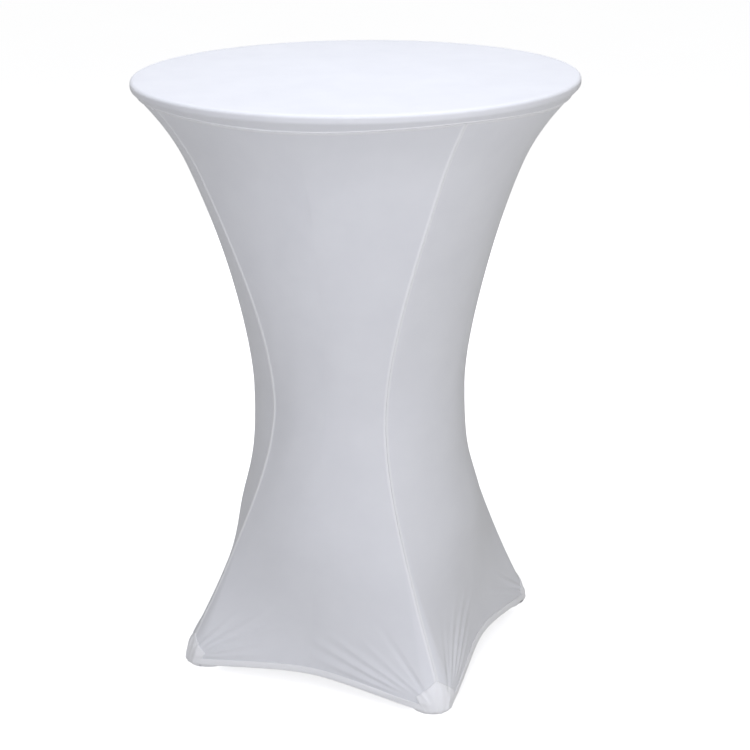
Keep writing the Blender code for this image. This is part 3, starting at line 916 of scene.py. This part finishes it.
def makePocket(index):
    columns, rowCount = pocket["columns"], pocket["rows"]
    turn, turnSteps = pocket["turnRadius"], pocket["turnSteps"]
    rows = []
    for r in range(rowCount + turnSteps):
        row = []
        for c in range(columns + 1):
            across = 2 * c / columns - 1
            top = pocketTop(across)
            lift = pocket["outer"] - softRidge(1 - abs(across), pocket["sideDip"], pocket["sideDipWidth"])
            if r < rowCount:
                z = mixed(top, turn + pocket["under"], r / (rowCount - 1))
                lift -= softRidge(top - z, pocket["topDip"], pocket["topDipWidth"])
            else:
                angle = pi / 2 * (r - rowCount + 1) / turnSteps
                z = pocket["under"] + turn * (1 - sin(angle))
                lift -= turn * (1 - cos(angle))
            lift += pocketFold(index, across, z) * fade(z / turn)
            row.append((pocketPoint(index, across, z, lift), (across * pocket["halfWidth"], z), 0.0))
        rows.append(row)
    piece = gridPiece("pocket_%d" % (index + 1), rows)
    thicken(piece, pocket["thickness"])
    piece.data.materials.append(doubledPaintedBounceMaterial)
    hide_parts("foot_pocket_%d" % (index + 1))

    edge, drop, marks = pocket["stitchAcross"], pocket["stitchDrop"], pocket["sideMarks"]
    low, high = pocket["turnRadius"] + pocket["stitchLow"], pocketTop(edge) - drop
    places = []
    for side in (-1, 1):
        line = [(side * edge, mixed(high, low, k / marks)) for k in range(marks + 1)]
        places += pocketStitches(index, line)
    top = [(2 * c / columns - 1) * edge for c in range(columns + 1)]
    places += pocketStitches(index, [(across, pocketTop(across) - drop) for across in top])
    return piece, makeStitches("pocket_stitches_%d" % (index + 1), places)


# Stitches on the pocket's face along a line of (across, height).
def pocketStitches(index, line):
    points = [pocketPoint(index, across, z, pocket["outer"] + pocketFold(index, across, z))
              for across, z in line]
    return stitchRow(points, [radialWay(point).normalized() for point in points])


# The cloth under the foot: a shallow tray round the pad, rounded at the corner and straight behind.
sole = {"length": 0.076, "thickness": 0.0012, "inset": 0.0125, "roundMarks": 40, "sideMarks": 8,
        "backMarks": 12, "rings": 8, "wallHeight": 0.0085, "wallRound": 0.0025, "wallMarks": 3,
        "flat": (0.078, 0.074)}


# The sole's outline with its foot on the X axis, and the middle of its length.
def soleOutline(index):
    outer = seamRadius(0) + seams[index]["reach"] + pocket["outer"] - sole["inset"]
    inner = seamRadius(0) + pocket["outer"] - sole["length"]
    corner = cover["footCorner"] - sole["inset"] * 0.5
    centre = outer - corner
    around, along, back = sole["roundMarks"], sole["sideMarks"], sole["backMarks"]
    outline = []
    for k in range(around + 1):
        angle = -pi / 2 + pi * k / around
        outline.append((centre + corner * cos(angle), corner * sin(angle)))
    outline += [(mixed(centre, inner, k / along), corner) for k in range(1, along)]
    outline += [(inner, mixed(corner, -corner, k / back)) for k in range(back + 1)]
    outline += [(mixed(inner, centre, k / along), -corner) for k in range(1, along)]
    return outline, (outer + inner) / 2


# The tray's wall as (distance out from the turn's start, height): a small curve and a straight.
def soleWall():
    turned, high, marks = sole["wallRound"], sole["wallHeight"], sole["wallMarks"]
    wall = []
    for k in range(1, marks + 1):
        angle = pi / 2 * k / marks
        wall.append((turned * sin(angle), turned * (1 - cos(angle))))
    return wall + [(turned, mixed(turned, high, k / marks)) for k in range(1, marks + 1)]


def makeSole(index):
    outline, middleX = soleOutline(index)
    turn = Matrix.Rotation(radians(seams[index]["foot"]), 4, "Z")
    shape = bmesh.new()
    layer = shape.loops.layers.uv.new("UVMap")
    centreVert = shape.verts.new(turn @ Vector((middleX, 0, sole["thickness"])))
    uvOf = {centreVert: (0.0, 0.0)}
    rings = []

    def addRing(share, out, up):
        ring = []
        for x, y in outline:
            long = hypot(x - middleX, y)
            grown, stretched = share + out / long, share + up / long
            place = Vector((middleX + (x - middleX) * grown, y * grown, sole["thickness"] + up))
            vert = shape.verts.new(turn @ place)
            uvOf[vert] = ((x - middleX) * stretched, y * stretched)
            ring.append(vert)
        rings.append(ring)

    for r in range(1, sole["rings"] + 1):
        addRing(r / sole["rings"], 0.0, 0.0)
    for out, up in soleWall():
        addRing(1.0, out, up)
    for k in range(len(outline)):
        after = (k + 1) % len(outline)
        shape.faces.new((centreVert, rings[0][k], rings[0][after]))
        for inner, outer in zip(rings, rings[1:]):
            shape.faces.new((inner[k], outer[k], outer[after], inner[after]))
    for face in shape.faces:
        face.smooth = True
        for loop in face.loops:
            loop[layer].uv = uvOf[loop.vert]
    shape.normal_update()
    mesh = bpy.data.meshes.new("sole_%d" % (index + 1))
    shape.to_mesh(mesh)
    shape.free()
    piece = newPiece("sole_%d" % (index + 1), mesh)
    thicken(piece, sole["thickness"])
    piece.data.materials.append(doubledPaintedBounceMaterial)
    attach(piece, "glide_%d" % (index + 1))
    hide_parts("pocket_sole_%d" % (index + 1))


for index in range(4):
    piece, threads = makePocket(index)
    for part in (piece, threads):
        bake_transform(part)
    makeSole(index)
print("foot pockets made")


# The floor and the lights. A light's angle is how far it stands round the table from the camera.
studio = {
    "floorSize": 60.0, "floorDrop": 0.0002, "floorColour": (0.93, 0.93, 0.935), "floorGlow": 0.66,
    "world": 0.345, "backdrop": 0.64, "lightDistance": 3.3, "aim": (0, 0, 0.6),
    "top": {"power": 37.0, "size": 1.3, "place": (0.1, -0.2, 3.2), "tint": (0.94, 0.97, 1.07)},
    "front": {"power": 33.0, "size": 1.2, "angle": -6, "height": 1.5, "tint": (0.94, 0.96, 1.09)},
    "back": {"power": 24.0, "size": 1.4, "angle": 180, "height": 1.2, "tint": (0.97, 0.98, 1.04)},
    "side": {"power": 18.0, "size": 1.4, "angle": 38, "height": 1.3, "tint": (0.99, 0.99, 1.02)},
}


def makeFloor():
    bpy.ops.mesh.primitive_plane_add(size=studio["floorSize"], location=(0, 0, -studio["floorDrop"]))
    floor = bpy.context.active_object
    floor.name = "floor"
    bpy.ops.object.transform_apply(location=True, rotation=True, scale=True)
    material, nodes, links, shader = newMaterial("paleFloor", studio["floorColour"], 0.9)
    shader.inputs["Specular IOR Level"].default_value = 0.1
    shader.inputs["Emission Color"].default_value = (1.0, 1.0, 1.0, 1.0)
    shader.inputs["Emission Strength"].default_value = studio["floorGlow"]
    place = addNode(nodes, "ShaderNodeTexCoord").outputs["Object"]
    tone = noiseTexture(nodes, links, place, 1.3, 2.0)
    links.new(colourRamp(nodes, links, tone, [(0.2, (0.925, 0.925, 0.93)), (0.8, (0.94, 0.94, 0.945))]),
              shader.inputs["Base Color"])
    floor.data.materials.append(material)
    floor.visible_diffuse = False
    floor.select_set(False)


def addLight(name, light, place):
    data = bpy.data.lights.new(name, "AREA")
    data.shape = "DISK"
    data.size = light["size"]
    data.energy = light["power"]
    data.color = light["tint"]
    lamp = bpy.data.objects.new(name, data)
    bpy.context.scene.collection.objects.link(lamp)
    way = Vector(studio["aim"]) - Vector(place)
    lamp.matrix_world = Matrix.Translation(place) @ way.to_track_quat("-Z", "Y").to_matrix().to_4x4()


def addRoundLight(name, light):
    around = radians(camera["azimuth"] + light["angle"])
    reach = studio["lightDistance"]
    addLight(name, light, (reach * sin(around), -reach * cos(around), light["height"]))


# The world gives an even light, and is paler where the camera sees it directly.
def makeWorld():
    world = bpy.data.worlds.new("studio")
    bpy.context.scene.world = world
    world.use_nodes = True
    nodes, links = world.node_tree.nodes, world.node_tree.links
    background = nodes["Background"]
    background.inputs["Color"].default_value = (1.0, 1.0, 1.0, 1.0)
    ray = addNode(nodes, "ShaderNodeLightPath")
    seen = mathNode(nodes, links, "MULTIPLY", ray.outputs["Is Camera Ray"], studio["backdrop"])
    glow = mathNode(nodes, links, "ADD", seen, studio["world"])
    links.new(glow, background.inputs["Strength"])


bpy.context.scene.view_settings.view_transform = "Standard"
makeFloor()
makeWorld()
addLight("softTop", studio["top"], studio["top"]["place"])
addRoundLight("softFront", studio["front"])
addRoundLight("softBack", studio["back"])
addRoundLight("softSide", studio["side"])
print("floor and light made")
